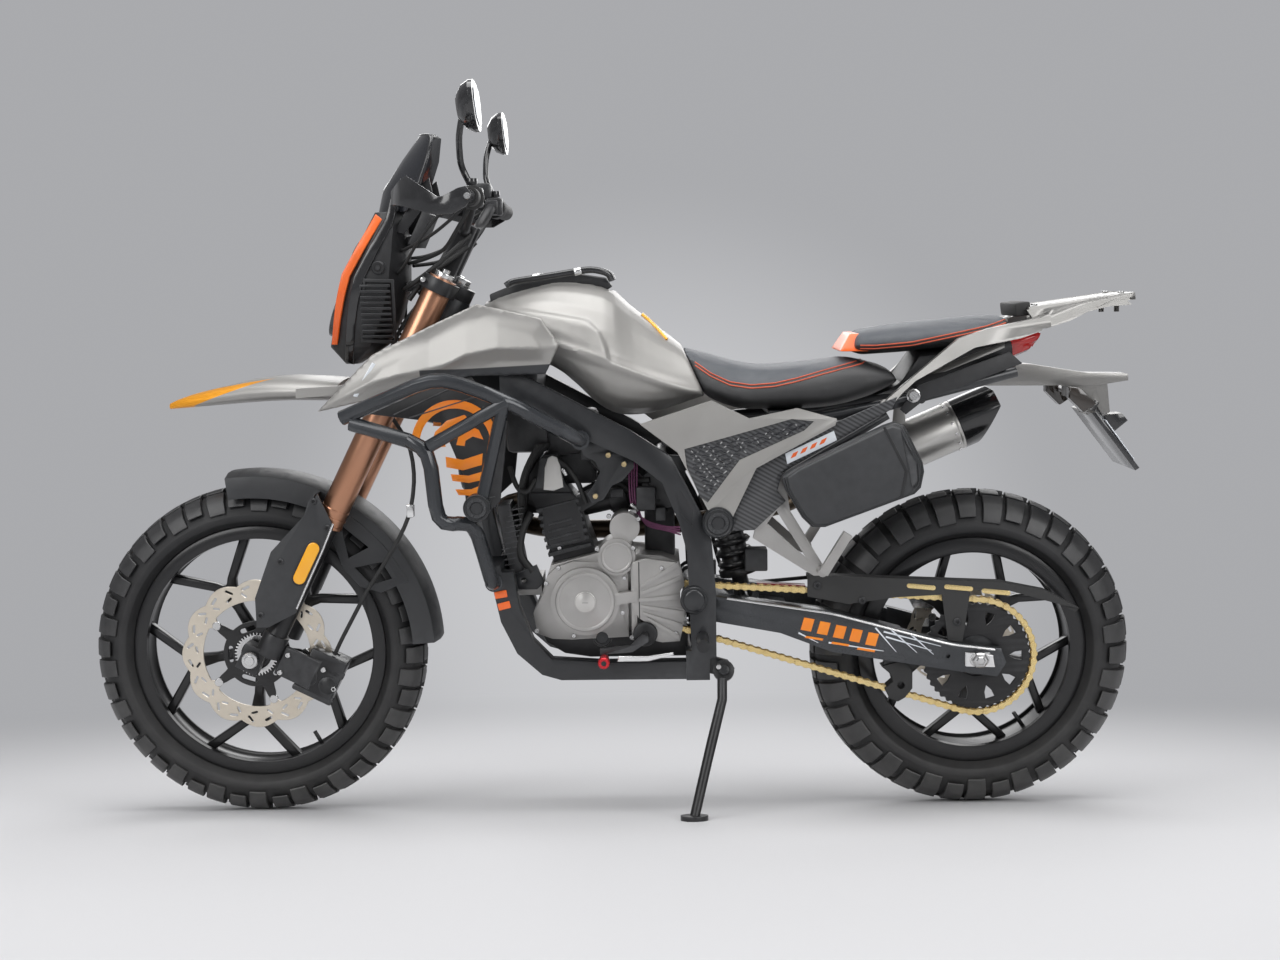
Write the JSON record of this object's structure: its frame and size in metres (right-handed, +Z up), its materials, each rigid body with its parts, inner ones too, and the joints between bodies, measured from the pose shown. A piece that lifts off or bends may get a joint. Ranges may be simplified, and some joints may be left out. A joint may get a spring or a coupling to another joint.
{
  "type": "adventure motorcycle",
  "caption": "Light adventure motorcycle with knobbly tyres, crash bars, luggage rack and a locked side box, parked on its side stand.",
  "frame": {"origin": "on the ground under the middle of the parked machine's box", "axes": "+Z up, +X to the rear of the machine, +Y to the rider's right; the machine leans 10 degrees to its left, towards -Y"},
  "size_m": [2.0538, 0.8059, 1.4428],
  "materials": {
    "dark_metal": "satin",
    "engine_silver": "satin",
    "engine_black": "satin",
    "header": "satin",
    "steel_silver": "satin",
    "body_silver": "satin",
    "black_plastic": "matte",
    "grey_plastic": "matte",
    "seat_cover": "matte",
    "red_lens": "gloss",
    "amber_lens": "gloss",
    "black_metal": "satin",
    "bright_axle": "polished",
    "chain_gold": "satin",
    "fork_copper": "satin",
    "clear_screen": "clear",
    "grip_rubber": "matte",
    "tyre": "matte"
  },
  "bodies": {
    "chassis": {"frame": "dark_metal", "subframe": "dark_metal", "engine_cases": "engine_silver", "engine_cylinder": "engine_black", "engine_mounts": "dark_metal", "throttle_body": "black_plastic", "exhaust_pipe": "header", "muffler": "steel_silver", "muffler_cap": "black_metal", "tank": "body_silver", "tank_console": "black_plastic", "shrouds": "body_silver", "lower_panels": "black_plastic", "beak": "body_silver", "rider_seat": "seat_cover", "pillion_seat": "seat_cover", "side_panels": "body_silver", "lower_side_panels": "black_plastic", "tail_unit": "black_plastic", "tail_light": "red_lens", "rear_rack": "steel_silver", "plate_holder": "steel_silver", "indicators": "amber_lens", "toolbox": "grey_plastic", "crash_bars": "dark_metal", "foot_controls": "black_metal", "pillion_hangers": "dark_metal", "rear_shock": "black_metal", "swingarm": "steel_silver", "swingarm_axle": "bright_axle", "rear_axle": "bright_axle", "chain": "chain_gold", "chain_guard": "black_plastic"},
    "steering": {"fork_tubes": "fork_copper", "fork_lowers": "black_metal", "fork_clamps": "black_metal", "front_fender": "grey_plastic", "headlight_mask": "body_silver", "windscreen": "clear_screen", "instrument": "black_plastic", "handlebar": "black_metal", "grips_and_levers": "grip_rubber", "hand_guards": "black_plastic", "mirrors": "black_plastic", "front_axle": "bright_axle", "front_caliper": "black_metal", "brake_hose": "grip_rubber"},
    "front_wheel": {"front_tyre": "tyre", "front_rim": "black_metal", "front_disc": "steel_silver"},
    "rear_wheel": {"rear_tyre": "tyre", "rear_rim": "black_metal", "rear_disc": "steel_silver", "rear_sprocket": "black_metal"},
    "side_stand": {"side_stand": "black_metal"}
  },
  "joints": [
    {"name": "steering_head", "type": "hinge", "parent": "chassis", "child": "steering", "pos_m": [-0.33983, 0.04402, 0.92055], "axis": [0.4478, -0.1553, 0.8806], "range_deg": [-30, 30]},
    {"name": "front_wheel_spin", "type": "hinge", "parent": "steering", "child": "front_wheel", "pos_m": [-0.69797, 0.14882, 0.3262], "axis": [0, 0.9848, 0.1736], "continuous": true},
    {"name": "rear_wheel_spin", "type": "hinge", "parent": "chassis", "child": "rear_wheel", "pos_m": [0.71203, 0.15125, 0.31241], "axis": [0, 0.9848, 0.1736], "continuous": true},
    {"name": "side_stand_fold", "type": "hinge", "parent": "chassis", "child": "side_stand", "pos_m": [0.21803, -0.00951, 0.27392], "axis": [0, -0.9781, 0.2079], "range_deg": [0, 95]}
  ]
}
